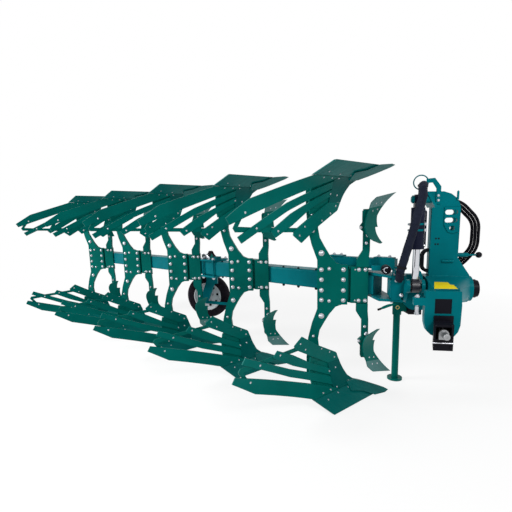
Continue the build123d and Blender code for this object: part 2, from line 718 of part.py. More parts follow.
def cylinder_barrel():
    top = cylinder_top_z
    x0, x1 = cylinder_x - cylinder_lug_width / 2, cylinder_x + cylinder_lug_width / 2
    lug = rod_x(crank_pin_y, top, x0, x1, 30) + box(x0, x1, crank_pin_y - 28, crank_pin_y + 28, barrel_top_z - 5, top)
    tube = rod_z(cylinder_x, crank_pin_y, barrel_foot_z, barrel_top_z, barrel_radius)
    gland = rod_z(cylinder_x, crank_pin_y, barrel_foot_z, barrel_foot_z + 20, barrel_radius + 3)
    solid = lug + tube + gland
    solid = solid - rod_z(cylinder_x, crank_pin_y, barrel_foot_z + 20, barrel_top_z - 17, barrel_bore_radius)
    solid = solid - rod_z(cylinder_x, crank_pin_y, barrel_foot_z - 10, barrel_foot_z + 30, rod_radius + rod_clearance)
    return solid - rod_x(crank_pin_y, top, x0 - 8, x1 + 8, top_pin_radius + pin_clearance)


def cylinder_rod():
    rod = rod_z(cylinder_x, crank_pin_y, crank_pin_z + 20, rod_top_z, rod_radius)
    eye = rod_x(crank_pin_y, crank_pin_z, cylinder_x - eye_width / 2, cylinder_x + eye_width / 2, eye_radius)
    pin = rod_x(crank_pin_y, crank_pin_z, cylinder_x - eye_width / 2 - 11, cylinder_x + eye_width / 2 + 11,
                crank_pin_radius)
    return rod + eye + pin


# ---------------------------------------------------------------- parking stand
def stand_socket():
    tube = rod_z(stand_x, stand_y, -300, -110, stand_radius + 8)
    arm = box(stand_x, 700, stand_y - 30, stand_y + 30, -270, -140) - bracket_block(1)
    return tube + arm - rod_z(stand_x, stand_y, -400, 0, stand_radius + stand_clearance)


def stand_leg():
    tube = rod_z(stand_x, stand_y, -ground_depth + 10, -95, stand_radius)
    foot = rod_z(stand_x, stand_y, -ground_depth, -ground_depth + 16, stand_foot_radius)
    return tube + foot


# ---------------------------------------------------------------- depth wheel
def wheel_bracket():
    """Clamp plates over and under the beam, their bolts, and the lug with the arm's pin."""
    x, y = along_beam(along_s(wheel_clamp_x), beam_offset)
    half = beam_size / 2
    plane = Plane(origin=(x, y, 0), x_dir=beam_dir, z_dir=(0, 0, 1))
    plate = Rectangle(200, beam_size + 60)
    solid = extrude(plane.offset(half) * plate, amount=18) + extrude(plane.offset(-half - 18) * plate, amount=18)
    for along in (-80, 80):
        for across in (-1, 1):
            solid = solid + extrude(plane.offset(-half - 30) * Pos(along, across * (half + 15)) * Circle(8),
                                    amount=beam_size + 60)
    solid = solid + extrude(plane.offset(half + 18) * Pos(-15, 0) * Rectangle(110, 70), amount=24)
    lug = box(wheel_pivot_x - 45, wheel_pivot_x + 80, wheel_arm_y - 27, wheel_arm_y - 2, wheel_pivot_z - 40, -half - 10)
    pin = rod_y(wheel_pivot_x, wheel_pivot_z, wheel_arm_y - 20, wheel_arm_y + wheel_arm_thickness + 14, wheel_pin_radius)
    head = rod_y(wheel_pivot_x, wheel_pivot_z, wheel_arm_y + wheel_arm_thickness + 2,
                 wheel_arm_y + wheel_arm_thickness + 14, wheel_pin_radius + 10)
    return solid + lug + pin + head


def wheel_arm():
    """The arm from its pin down to the wheel's axle, with the bar of the scraper."""
    y0, y1 = wheel_arm_y, wheel_arm_y + wheel_arm_thickness
    dx, dz = wheel_x - wheel_pivot_x, wheel_z - wheel_pivot_z
    long = math.hypot(dx, dz)
    nx, nz = -dz / long * 45, dx / long * 45
    bar = plate_xz([(wheel_pivot_x + nx, wheel_pivot_z + nz), (wheel_x + nx, wheel_z + nz),
                    (wheel_x - nx, wheel_z - nz), (wheel_pivot_x - nx, wheel_pivot_z - nz)], y0, y1)
    solid = bar + rod_y(wheel_pivot_x, wheel_pivot_z, y0, y1, 45) + rod_y(wheel_x, wheel_z, y0, y1, 45)
    near = wheel_y - wheel_width / 2
    solid = solid + rod_y(wheel_x, wheel_z, y1 - 5, wheel_y + wheel_width / 2 - 2, axle_radius)
    solid = solid + rod_y(wheel_x, wheel_z, wheel_y + wheel_width / 2 - 8, wheel_y + wheel_width / 2 + 4, axle_radius + 12)
    scraper_x = wheel_x + wheel_radius
    solid = solid + plate_xz([(wheel_x - 10, wheel_z - 20), (wheel_x + 20, wheel_z - 38), (scraper_x + 24, wheel_z - 58),
                              (scraper_x + 24, wheel_z - 88), (wheel_x - 10, wheel_z - 70)], y1 - 12, y1)
    blade = box(scraper_x + 12, scraper_x + 24, y1 - 12, wheel_y + wheel_width / 2 - 10, wheel_z - 88, wheel_z - 58)
    solid = solid + blade
    return solid - rod_y(wheel_pivot_x, wheel_pivot_z, y0 - 10, y1 + 1, wheel_pin_radius + pin_clearance)


def wheel_rim():
    """The rim, its disc and its hub, turned about the axle."""
    y0 = wheel_y - wheel_width / 2 + 8
    y1 = wheel_y + wheel_width / 2 - 12
    band = rod_y(wheel_x, wheel_z, y0, y1, rim_radius) - rod_y(wheel_x, wheel_z, y0 - 5, y1 + 5, rim_radius - 8)
    disc = rod_y(wheel_x, wheel_z, wheel_y - 6, wheel_y + 4, rim_radius - 4)
    hub = rod_y(wheel_x, wheel_z, wheel_y - 35, y1 + 2, 48)
    return band + disc + hub - rod_y(wheel_x, wheel_z, wheel_y - 60, y1 + 20, axle_radius + pin_clearance)


def wheel_tyre():
    """The tyre, turned about the axle."""
    half = wheel_width / 2
    inner = rim_radius + 0.3
    profile = make_face(Polyline((inner, -half + 10), (inner + 16, -half), (wheel_radius - 26, -half + 2),
                                 (wheel_radius - 8, -half + 16), (wheel_radius, -half + 34), (wheel_radius, half - 34),
                                 (wheel_radius - 8, half - 16), (wheel_radius - 26, half - 2), (inner + 16, half),
                                 (inner, half - 10), close=True))
    ring = revolve(profile, axis=Axis.Y)
    return Pos(wheel_x, wheel_y, wheel_z) * ring


parts = {}


def keep(name, solids):
    """Keep one node; like solids that do not touch may share it."""
    parts[name] = solids if isinstance(solids, list) else [solids]


leg = plain_leg()
bracket = plain_bracket()
frog = plain_frog() + spacer_blocks()
share = plain_share()
point = plain_point()
breast = plain_breast()
slats = [plain_slat(name) for name in slat_outlines]
brace = plain_brace()
skimmer_plate = plain_skimmer_plate()
shank = plain_shank()
skimmer_board = plain_skimmer_board()
skimmer_share = plain_skimmer_share()

for index in range(body_count):
    number = index + 1
    keep(f"leg_{number}", at_body(leg, index))
    keep(f"frogs_{number}", [at_body(s, index) for s in pair(frog)])
    keep(f"shares_{number}", [at_body(s, index) for s in pair(share)])
    keep(f"breasts_{number}", [at_body(s, index) for s in pair(breast)])
    keep(f"slats_{number}", [at_body(s, index) for slat in slats for s in pair(slat)])


def on_every_leg(shapes):
    return [at_body(shape, index) for index in range(body_count) for shape in shapes]


keep("share_points", on_every_leg(pair(point)))
keep("slat_braces", on_every_leg(pair(brace)))
keep("leg_brackets", on_every_leg([bracket]))
keep("skimmer_plates", on_every_leg([skimmer_plate]))
keep("skimmer_shanks", on_every_leg(pair(shank)))
keep("skimmer_boards", on_every_leg(pair(skimmer_board)))
keep("skimmer_shares", on_every_leg(pair(skimmer_share)))
keep("main_beam", main_beam())
keep("turnover_crank", crank())
keep("console", console())
keep("link_bar", link_bar())
keep("mast", mast())
keep("mast_webs", mast_webs())
keep("top_link_doublers", doublers())
keep("headstock_body", headstock_body())
for side, word in ((-1, "right"), (1, "left")):
    keep(f"side_plate_{word}", side_plate(side))
    keep(f"link_bracket_{word}", link_bracket(side))
    keep(f"link_pin_{word}", link_pin(side))
keep("end_caps", end_caps())
keep("hose_arm", hose_arm())
keep("hoses", hoses())
keep("hose_sleeve", hose_sleeve())
keep("hose_stub", hose_stub())
keep("cylinder_bracket", cylinder_bracket())
keep("cylinder_barrel", cylinder_barrel())
keep("cylinder_rod", cylinder_rod())
keep("stand_socket", stand_socket())
keep("stand_leg", stand_leg())
keep("wheel_bracket", wheel_bracket())
keep("wheel_arm", wheel_arm())
keep("wheel_rim", wheel_rim())
keep("wheel_tyre", wheel_tyre())


whole = Compound(children=[solid for solids in parts.values() for shape in solids for solid in shape.solids()])
bounds = whole.bounding_box()
origin = Vector((bounds.min.X + bounds.max.X) / 2, (bounds.min.Y + bounds.max.Y) / 2, bounds.min.Z)
print("origin", origin.X, origin.Y, origin.Z)

os.makedirs("parts", exist_ok=True)
for name, solids in parts.items():
    moved = [s.moved(Location((-origin.X, -origin.Y, -origin.Z))) for s in solids]
    shape = moved[0] if len(moved) == 1 else Compound(children=moved)
    export_step(shape, f"parts/{name}.step")
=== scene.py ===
# Looks of the five-furrow reversible plough: paint, rubber, cloth and chrome on the solids, and
# the bolts, welds, clamps and small fittings round them.
#
# Points are given in millimetres in the drafting frame of the front leg: +X forward, +Y to
# the left, +Z up from the turnover axis. point() brings them into the model's frame.
import json
import math

import bmesh
import bpy
from mathutils import Matrix, Vector, noise


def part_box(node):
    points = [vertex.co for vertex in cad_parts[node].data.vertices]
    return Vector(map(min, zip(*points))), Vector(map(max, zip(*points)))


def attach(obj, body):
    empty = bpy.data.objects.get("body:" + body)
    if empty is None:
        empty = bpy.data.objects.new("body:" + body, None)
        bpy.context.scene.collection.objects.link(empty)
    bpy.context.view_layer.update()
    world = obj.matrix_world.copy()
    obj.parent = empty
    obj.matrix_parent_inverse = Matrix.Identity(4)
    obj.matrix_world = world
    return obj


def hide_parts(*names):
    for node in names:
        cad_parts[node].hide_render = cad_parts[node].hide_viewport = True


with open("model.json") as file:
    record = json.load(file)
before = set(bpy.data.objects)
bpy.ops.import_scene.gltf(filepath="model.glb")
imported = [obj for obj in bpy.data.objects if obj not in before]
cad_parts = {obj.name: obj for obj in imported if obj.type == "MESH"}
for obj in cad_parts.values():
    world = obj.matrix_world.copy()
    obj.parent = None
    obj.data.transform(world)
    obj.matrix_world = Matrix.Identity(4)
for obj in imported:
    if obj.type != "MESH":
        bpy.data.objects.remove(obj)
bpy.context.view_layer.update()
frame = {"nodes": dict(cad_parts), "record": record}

# ---------------------------------------------------------------- drafting frame
BODIES = 5
PITCH = 950.0
BEAM_ANGLE = math.radians(31.0)
LINE_ANGLE = math.radians(49.7)
BEAM_OFFSET = 265.0
BEAM_HALF = 75.0
AXIS_Y = -87.0
MAST_NEAR, MAST_FAR = AXIS_Y - 38.0, AXIS_Y + 38.0
LEG_REAR = 112.0                 # from the leg's rearmost edge to the drafting origin

leg_low, leg_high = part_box("leg_1")
ORIGIN = Vector((leg_low[0] + LEG_REAR * 0.001, leg_low[1], (leg_low[2] + leg_high[2]) / 2))
BEAM_DIR = Vector((-math.cos(BEAM_ANGLE), math.sin(BEAM_ANGLE), 0.0))
BEAM_NRM = Vector((math.sin(BEAM_ANGLE), math.cos(BEAM_ANGLE), 0.0))
LEG_STEP = BEAM_DIR * PITCH
LINE_DIR = Vector((-math.cos(LINE_ANGLE), -math.sin(LINE_ANGLE), 0.0))
LINE_NRM = Vector((math.sin(LINE_ANGLE), -math.cos(LINE_ANGLE), 0.0))
NEAR, FAR, UP, DOWN = (0, -1, 0), (0, 1, 0), (0, 0, 1), (0, 0, -1)
FORWARD, BACK = (1, 0, 0), (-1, 0, 0)


def point(place):
    """A drafting point, in the model's frame in metres."""
    return ORIGIN + Vector(place) * 0.001


def on_beam(x, offset):
    """The drafting point at this X on the line that lies this far from the front leg, along the beam."""
    return x, (offset - math.sin(BEAM_ANGLE) * x) / math.cos(BEAM_ANGLE)


# the mouldboard's section: a straight share, an arc and a straight top
SHARE_SLOPE, TOP_SLOPE, BOARD_RADIUS = math.radians(33.0), math.radians(95.0), 290.0
SHARE_FOOT, EDGE_DEPTH, SHARE_TOP = 296.0, 852.0, 774.0
# the skimmer's surface is part of a round tube along the lines
SKIMMER_ACROSS, SKIMMER_DEPTH, SKIMMER_RADIUS = 531.0, 474.0, 239.0


def mirrored(place, normal, side):
    """The place and its normal, on the upper body when side is 1."""
    if side > 0:
        place.z, normal.z = -place.z, -normal.z
    return place, normal


def board(u, depth, side):
    """The point u along the mouldboard's lines and depth from the axis, and the outward normal there."""
    start = SHARE_FOOT - (EDGE_DEPTH - SHARE_TOP) / math.tan(SHARE_SLOPE)
    centre_v = start + BOARD_RADIUS * math.sin(SHARE_SLOPE)
    centre_z = -SHARE_TOP + BOARD_RADIUS * math.cos(SHARE_SLOPE)
    angle = SHARE_SLOPE
    if depth > SHARE_TOP:
        across = start + (depth - SHARE_TOP) / math.tan(SHARE_SLOPE)
    elif depth > -centre_z + BOARD_RADIUS * math.cos(TOP_SLOPE):
        angle = math.acos(min(1.0, (centre_z + depth) / BOARD_RADIUS))
        across = centre_v - BOARD_RADIUS * math.sin(angle)
    else:
        angle = TOP_SLOPE
        arc_top = centre_z - BOARD_RADIUS * math.cos(TOP_SLOPE)
        across = centre_v - BOARD_RADIUS * math.sin(TOP_SLOPE) - (-depth - arc_top) / math.tan(TOP_SLOPE)
    normal = LINE_NRM * math.sin(angle) + Vector((0, 0, math.cos(angle)))
    return mirrored(LINE_DIR * u + LINE_NRM * across + Vector((0, 0, -depth)), normal, side)


def skimmer(u, depth, side):
    """The point u along the lines and depth from the axis on a skimmer, and the outward normal there."""
    reach = math.sqrt(SKIMMER_RADIUS ** 2 - (depth - SKIMMER_DEPTH) ** 2)
    normal = LINE_NRM * (reach / SKIMMER_RADIUS) + Vector((0, 0, (depth - SKIMMER_DEPTH) / SKIMMER_RADIUS))
    place = LINE_DIR * u + LINE_NRM * (SKIMMER_ACROSS - reach) + Vector((0, 0, -depth))
    return mirrored(place, normal, side)


# ---------------------------------------------------------------- node trees
class Tree:
    """A node tree that is built one node at a time."""

    def __init__(self, tree):
        self.tree = tree

    def node(self, kind, settings=None, inputs=None):
        """A node of this kind: its settings first, then the values or links of its sockets."""
        made = self.tree.nodes.new(kind)
        for name, value in (settings or {}).items():
            setattr(made, name, value)
        for name, value in (inputs or {}).items():
            if isinstance(value, Value):
                value = value.socket
            if isinstance(value, bpy.types.NodeSocket):
                self.tree.links.new(value, made.inputs[name])
            else:
                made.inputs[name].default_value = value
        return made

    def value(self, kind, output=0, settings=None, inputs=None):
        """One output of such a node, for use in sums."""
        return Value(self, self.node(kind, settings, inputs).outputs[output])


class Value:
    """A number that changes over a surface and takes part in ordinary sums."""

    def __init__(self, tree, socket):
        self.tree, self.socket = tree, socket

    def maths(self, operation, *terms):
        return self.tree.value("ShaderNodeMath", 0, {"operation": operation}, dict(enumerate(terms)))

    def __add__(self, other):
        return self.maths("ADD", self, other)

    def __radd__(self, other):
        return self.maths("ADD", other, self)

    def __sub__(self, other):
        return self.maths("SUBTRACT", self, other)

    def __rsub__(self, other):
        return self.maths("SUBTRACT", other, self)

    def __mul__(self, other):
        return self.maths("MULTIPLY", self, other)

    def __rmul__(self, other):
        return self.maths("MULTIPLY", other, self)

    def __truediv__(self, other):
        return self.maths("DIVIDE", self, other)

    def __rtruediv__(self, other):
        return self.maths("DIVIDE", other, self)

    def __pow__(self, other):
        return self.maths("POWER", self, other)

    def __rpow__(self, other):
        return self.maths("POWER", other, self)

    def wave(self):
        return self.maths("SINE", self)

    def larger(self, other):
        return self.maths("MAXIMUM", self, other)

    def smaller(self, other):
        return self.maths("MINIMUM", self, other)

    def above(self, level, width):
        """0 below the level and 1 above it, with a soft step of that width."""
        return ((self - level) / width + 0.5).smaller(1.0).larger(0.0)


# ---------------------------------------------------------------- finishes
def colour4(colour):
    """The colour with its fourth number, or the link that it is."""
    return (*colour, 1.0) if isinstance(colour, tuple) else colour


def scaled(rgb, factor, lift=0.0):
    """A lighter or darker colour, lifted a little towards grey."""
    return tuple(channel * factor + lift for channel in rgb)


# the tint of the shine on teal paint and on plain paint
TEAL_SHINE, WHITE_SHINE = (0.15, 1.0, 1.0), (1.0, 1.0, 1.0)


class Finish(Tree):
    """A material built from nodes on the piece's own coordinates."""

    def __init__(self, name, **uniform):
        self.material = bpy.data.materials.new(name)
        self.material.use_nodes = True
        super().__init__(self.material.node_tree)
        self.shader = self.tree.nodes["Principled BSDF"]
        for socket, value in uniform.items():
            self.shader.inputs[socket.replace("_", " ")].default_value = value
        self.place = self.node("ShaderNodeTexCoord").outputs["Object"]

    def noise(self, scale, detail=3.0, rough=0.5, stretch=(1, 1, 1)):
        """Soft noise of this scale, its place stretched along each axis."""
        stretched = self.node("ShaderNodeMapping", None, {"Vector": self.place, "Scale": stretch}).outputs[0]
        return self.value("ShaderNodeTexNoise", "Fac", None,
                          {"Vector": stretched, "Scale": scale, "Detail": detail, "Roughness": rough})

    def along(self, letter):
        """The place along one axis."""
        return self.value("ShaderNodeSeparateXYZ", letter, None, {0: self.place})

    def mix(self, amount, first, second):
        """A colour that goes from first to second as amount goes from 0 to 1."""
        return self.node("ShaderNodeMix", {"data_type": "RGBA"},
                         {0: amount, 6: colour4(first), 7: colour4(second)}).outputs[2]

    def feeds(self, **sockets):
        """Links values to the shader's sockets."""
        for name, value in sockets.items():
            source = value.socket if isinstance(value, Value) else value
            self.tree.links.new(source, self.shader.inputs[name.replace("_", " ")])
        return self

    def bumped(self, height, strength, distance):
        """The finished material, with this relief."""
        bump = self.node("ShaderNodeBump", None, {"Height": height, "Strength": strength, "Distance": distance})
        return self.feeds(Normal=bump.outputs[0]).material


def machine_paint(name, rgb, dullness=0.34, flake=0.0, shine=TEAL_SHINE):
    """Sprayed machine paint: a slow drift of colour, cloudy runs, a thin film of dust and a fine grain."""
    made = Finish(name, Metallic=flake, Specular_IOR_Level=0.07, Specular_Tint=colour4(shine), Coat_Weight=0.01,
                  Coat_Roughness=0.12)
    drift = made.noise(3.2, 4.0).above(0.5, 0.5)
    cloud = made.noise(11.0, 3.0, 0.6, (1, 1, 0.4)).above(0.55, 0.4)
    dust = made.noise(38.0, 5.0, 0.65).above(0.68, 0.16)
    base = made.mix(drift, scaled(rgb, 0.82), scaled(rgb, 1.15))
    base = made.mix(cloud * 0.25, base, scaled(rgb, 0.7))
    base = made.mix(dust * 0.08, base, scaled(rgb, 0.7, 0.05))
    made.feeds(Base_Color=base, Roughness=made.noise(14.0, 3.0) * 0.22 + (dullness - 0.08) + dust * 0.15)
    return made.bumped(made.noise(420.0, 2.0), 0.12, 0.0004)


def bare_metal(name, rgb, rough, grain=(1, 1, 1)):
    """Bare or plated metal with a fine grain."""
    made = Finish(name, Metallic=1.0)
    streak = made.noise(60.0, 4.0, 0.6, grain)
    made.feeds(Base_Color=made.mix(streak.above(0.5, 0.5), scaled(rgb, 0.80), rgb),
               Roughness=made.noise(180.0, 2.0) * 0.18 + rough - 0.08)
    return made.bumped(streak, 0.06, 0.0005)


def cylinder_chrome(name, chrome, black, collar_z):
    """Polished chrome above the collar, and the black painted eye below it."""
    made = Finish(name)
    painted = 1.0 - made.along("Z").above(collar_z, 0.001)
    streak = made.noise(60.0, 4.0, 0.6, (1, 1, 8))
    bright = made.mix(streak.above(0.5, 0.5), scaled(chrome, 0.85), chrome)
    made.feeds(Base_Color=made.mix(painted, bright, black), Metallic=1.0 - painted,
               Roughness=0.12 + streak * 0.06 + painted * 0.26)
    return made.bumped(streak, 0.05, 0.0004)


def worked_share(name, rgb, earth):
    """Dark paint on the shares, scoured thin in streaks along the furrow."""
    made = Finish(name, Specular_IOR_Level=0.09, Coat_Weight=0.01, Coat_Roughness=0.2)
    streak = made.noise(9.0, 5.0, 0.6, (1, 6, 2)).above(0.58, 0.3)
    speck = made.noise(70.0, 4.0, 0.7).above(0.62, 0.2)
    base = made.mix(streak * 0.35, rgb, scaled(rgb, 1.7, 0.004))
    made.feeds(Base_Color=made.mix(speck * 0.18, base, earth), Metallic=streak * 0.25,
               Roughness=0.34 + speck * 0.2 - streak * 0.06)
    return made.bumped(speck + streak, 0.10, 0.0006)


def rubber(name, rgb, rough):
    """Rubber with a grey bloom and a fine skin."""
    made = Finish(name, Specular_IOR_Level=0.035)
    bloom = made.noise(22.0, 5.0, 0.65).above(0.56, 0.35)
    made.feeds(Base_Color=made.mix(bloom, rgb, scaled(rgb, 1.5, 0.006)),
               Roughness=made.noise(90.0, 3.0) * 0.2 + rough - 0.1)
    return made.bumped(made.noise(40.0, 2.0), 0.05, 0.0002)


def woven_nylon(name, rgb, threads=2600.0):
    """Woven nylon: fine threads that cross, worn pale in places."""
    made = Finish(name, Specular_IOR_Level=0.10, Sheen_Weight=0.03, Sheen_Roughness=0.5)
    weave = (made.along("Z") * threads).wave() * ((made.along("X") + made.along("Y")) * threads).wave()
    worn = made.noise(16.0, 4.0, 0.6)
    made.feeds(Base_Color=made.mix(worn.above(0.52, 0.4), rgb, scaled(rgb, 1.6, 0.003)), Roughness=worn * 0.2 + 0.62)
    return made.bumped(weave + worn * 6.0, 0.35, 0.0012)


# the rod is bare above this height, and painted below it
ROD_COLLAR = 86.0
FINISHES = {
    "body_paint": (machine_paint, (0.000, 0.098, 0.082)),
    # the breasts' finish is the body paint made darker, as painted shade
    "breast_paint": (machine_paint, (0.000, 0.078, 0.073)),
    # the slats' finish is the body paint made lighter, as a painted sheen
    "slat_paint": (machine_paint, (0.000, 0.108, 0.094)),
    "frame_paint": (machine_paint, (0.000, 0.132, 0.158)),
    "share_steel": (worked_share, (0.000, 0.104, 0.098), (0.016, 0.070, 0.066)),
    "skimmer_paint": (machine_paint, (0.075, 0.185, 0.180), 0.30, 0.2, WHITE_SHINE),
    "barrel_paint": (machine_paint, (0.006, 0.008, 0.022), 0.34, 0.0, WHITE_SHINE),
    "black_iron": (machine_paint, (0.005, 0.005, 0.009), 0.38, 0.0, WHITE_SHINE),
    "rim_paint": (machine_paint, (0.60, 0.62, 0.65), 0.36, 0.0, WHITE_SHINE),
    "label_film": (machine_paint, (0.78, 0.62, 0.010), 0.42, 0.0, WHITE_SHINE),
    "moulded_black": (machine_paint, (0.008, 0.008, 0.010), 0.48, 0.0, WHITE_SHINE),
    "chrome_rod": (cylinder_chrome, (0.66, 0.67, 0.71), (0.006, 0.006, 0.012), point((0, 0, ROD_COLLAR)).z),
    "pin_steel": (bare_metal, (0.36, 0.37, 0.38), 0.40, (8, 1, 8)),
    "zinc_bolt": (bare_metal, (0.56, 0.57, 0.61), 0.36),
    "brass": (bare_metal, (0.40, 0.34, 0.12), 0.38),
    "tyre_rubber": (rubber, (0.008, 0.006, 0.010), 0.62),
    "hose_rubber": (rubber, (0.003, 0.003, 0.005), 0.60),
    "sleeve_cloth": (woven_nylon, (0.005, 0.007, 0.017)),
}
MATERIALS = {name: maker(name, *looks) for name, (maker, *looks) in FINISHES.items()}
# the record's material slot behind each finish that has none of its own
# nodes whose finish differs from their slot's
OWN_FINISH = {"skimmer_shares": "skimmer_paint", "stand_leg": "body_paint", "stand_socket": "body_paint"}
# the breasts take the darker copy of the body paint, as painted shade
# the slats take the lighter copy of the body paint, as a painted sheen
for body in range(1, BODIES + 1):
    OWN_FINISH.update({f"breasts_{body}": "breast_paint", f"slats_{body}": "slat_paint"})

slots = {entry["node"]: entry["material_slot"] for entry in frame["record"]["subparts"]}
for name, node in frame["nodes"].items():
    for place in node.material_slots:
        place.material = MATERIALS[OWN_FINISH.get(name, slots.get(name))]


# ---------------------------------------------------------------- shapes
def turned(name, outline, sides, hollow=False):
    """A shape turned round Z from (radius, height) pairs in millimetres; 6 sides make a hexagon.

    A hollow one is a ring: its outline closes on itself. Any other starts on a flat foot.
    """
    bm = bmesh.new()
    rings = []
    for radius, height in outline:
        count = sides if radius else 1
        rings.append([bm.verts.new((radius * 0.001 * math.cos(2 * math.pi * k / sides),
                                    radius * 0.001 * math.sin(2 * math.pi * k / sides), height * 0.001))
                      for k in range(count)])
    onward = rings[1:] + rings[:1] if hollow else rings[1:]
    for lower, higher in zip(rings, onward):
        for k in range(sides):
            n = (k + 1) % sides
            corners = [lower[k % len(lower)], lower[n % len(lower)], higher[n % len(higher)], higher[k % len(higher)]]
            bm.faces.new(list(dict.fromkeys(corners)))
    if not hollow and len(rings[0]) > 1:
        bm.faces.new(list(reversed(rings[0])))
    return finished(name, bm)


def slab(name, outline, low, high, edge=1.5):
    """A plate with an outline in X and Y between two heights, in millimetres, its edges broken."""
    bm = bmesh.new()
    foot = [bm.verts.new((x * 0.001, y * 0.001, low * 0.001)) for x, y in outline]
    head = [bm.verts.new((x * 0.001, y * 0.001, high * 0.001)) for x, y in outline]
    bm.faces.new(list(reversed(foot)))
    bm.faces.new(head)
    for k in range(len(foot)):
        n = (k + 1) % len(foot)
        bm.faces.new((foot[k], foot[n], head[n], head[k]))
    if edge:
        bmesh.ops.bevel(bm, geom=list(bm.edges), offset=edge * 0.001, segments=2, profile=0.6, affect="EDGES",
                        clamp_overlap=True)
    return finished(name, bm)


def block(name, x0, x1, y0, y1, z0, z1, edge=1.5):
    """A box between two corners, in millimetres, its edges broken."""
    return slab(name, [(x0, y0), (x1, y0), (x1, y1), (x0, y1)], z0, z1, edge)


def upright(name, outline, y0, y1, edge=1.5):
    """A plate with an outline in X and Z, from y0 to y1."""
    made = slab(name, outline, -y1, -y0, edge)
    made.transform(Matrix.Rotation(math.radians(90), 4, "X"))
    return made


def finished(name, bm):
    """The mesh of these faces, merged and turned outwards."""
    bmesh.ops.remove_doubles(bm, verts=bm.verts, dist=1e-6)
    bmesh.ops.recalc_face_normals(bm, faces=bm.faces)
    mesh = bpy.data.meshes.new(name)
    bm.to_mesh(mesh)
    bm.free()
    return mesh


def joined(name, meshes):
    """One mesh from several."""
    bm = bmesh.new()
    for each in meshes:
        bm.from_mesh(each)
    return finished(name, bm)


def at(x, y, z, way=UP, spin=0.0, size=1.0):
    """The matrix that sets a shape drawn on Z at a drafting point, pointing that way."""
    turn = Vector(way).to_track_quat("Z", "Y").to_matrix().to_4x4()
    return (Matrix.Translation(Vector((x, y, z)) * 0.001) @ turn @ Matrix.Rotation(math.radians(spin), 4, "Z")
            @ Matrix.Scale(size, 4))


def placed(mesh, matrix):
    """A copy of the mesh, moved by the matrix."""
    copy = mesh.copy()
    copy.transform(matrix)
    return copy


def smooth(mesh, degrees=35.0):
    """Smooth shading, with sharp edges where faces meet at more than this angle."""
    bm = bmesh.new()
    bm.from_mesh(mesh)
    for face in bm.faces:
        face.smooth = True
    for edge in bm.edges:
        if len(edge.link_faces) == 2:
            edge.smooth = edge.calc_face_angle(0.0) < math.radians(degrees)
    bm.to_mesh(mesh)
    bm.free()


def piece(name, mesh, body, finish, degrees=35.0, drafted=True):
    """A finished piece that rides on a body. A drafted mesh is still in the drafting frame."""
    if drafted:
        mesh.transform(Matrix.Translation(ORIGIN))
    smooth(mesh, degrees)
    mesh.materials.clear()
    mesh.materials.append(MATERIALS[finish])
    made = bpy.data.objects.new(name, mesh)
    bpy.context.scene.collection.objects.link(made)
    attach(made, body)
    return made


# ---------------------------------------------------------------- geometry networks
class Network(Tree):
    """A geometry network with named inputs, which ends in Realize Instances and Set Material."""

    def __init__(self, name, inputs):
        super().__init__(bpy.data.node_groups.new(name, "GeometryNodeTree"))
        face = self.tree.interface
        face.new_socket("Geometry", in_out="INPUT", socket_type="NodeSocketGeometry")
        self.inputs = {label: face.new_socket(label, in_out="INPUT", socket_type="NodeSocket" + kind)
                       for label, kind in {**inputs, "Finish": "Material"}.items()}
        face.new_socket("Geometry", in_out="OUTPUT", socket_type="NodeSocketGeometry")
        self.start = self.node("NodeGroupInput").outputs

    def ends(self, geometry):
        """Makes the geometry real, gives it its finish and hands it out."""
        real = self.node("GeometryNodeRealizeInstances", None, {0: geometry}).outputs[0]
        dressed = self.node("GeometryNodeSetMaterial", None, {"Geometry": real, "Material": self.start["Finish"]})
        self.node("NodeGroupOutput", None, {0: dressed.outputs[0]})

    def grow(self, name, seed_mesh, finish, **values):
        """The plain mesh that the network makes from a seed, with its inputs set."""
        seed = bpy.data.objects.new(name + "_seed", seed_mesh)
        bpy.context.scene.collection.objects.link(seed)
        modifier = seed.modifiers.new(name, "NODES")
        modifier.node_group = self.tree
        for label, value in {**values, "Finish": MATERIALS[finish]}.items():
            modifier[self.inputs[label].identifier] = value
        plain = bpy.data.meshes.new_from_object(seed.evaluated_get(bpy.context.evaluated_depsgraph_get()))
        plain.name = name
        seed.modifiers.clear()
        bpy.data.objects.remove(seed)
        return plain


def copies_network():
    """A copy of a shape on every point, turned to the point's way and as large as its size."""
    net = Network("copies", {"Shape": "Object", "Scale": "Float"})
    shape = net.node("GeometryNodeObjectInfo", None, {"Object": net.start["Shape"]}).outputs["Geometry"]
    way = net.node("GeometryNodeInputNamedAttribute", {"data_type": "FLOAT_VECTOR"}, {"Name": "way"}).outputs[0]
    size = net.value("GeometryNodeInputNamedAttribute", 0, {"data_type": "FLOAT"}, {"Name": "size"})
    turn = net.node("FunctionNodeAlignRotationToVector", {"axis": "Z"}, {"Vector": way}).outputs[0]
    whole = size * Value(net, net.start["Scale"])
    net.ends(net.node("GeometryNodeInstanceOnPoints", None, {"Points": net.start["Geometry"], "Instance": shape,
                                                             "Rotation": turn, "Scale": whole}).outputs[0])
    return net


def pipe_network():
    """A round bar along a run of edges, its corners bent, in short steps."""
    net = Network("pipe", {"Radius": "Float", "Corner": "Float", "Step": "Float", "Sides": "Int"})
    run = net.node("GeometryNodeMeshToCurve", None, {0: net.start["Geometry"]}).outputs[0]
    bent = net.node("GeometryNodeFilletCurve", {"mode": "POLY"},
                    {"Curve": run, "Count": 8, "Radius": net.start["Corner"], "Limit Radius": True}).outputs[0]
    even = net.node("GeometryNodeResampleCurve", {"mode": "LENGTH"},
                    {"Curve": bent, "Length": net.start["Step"]}).outputs[0]
    ring = net.node("GeometryNodeCurvePrimitiveCircle", {"mode": "RADIUS"},
                    {"Resolution": net.start["Sides"], "Radius": net.start["Radius"]}).outputs[0]
    net.ends(net.node("GeometryNodeCurveToMesh", None,
                      {"Curve": even, "Profile Curve": ring, "Fill Caps": True}).outputs[0])
    return net


COPIES, PIPE = copies_network(), pipe_network()


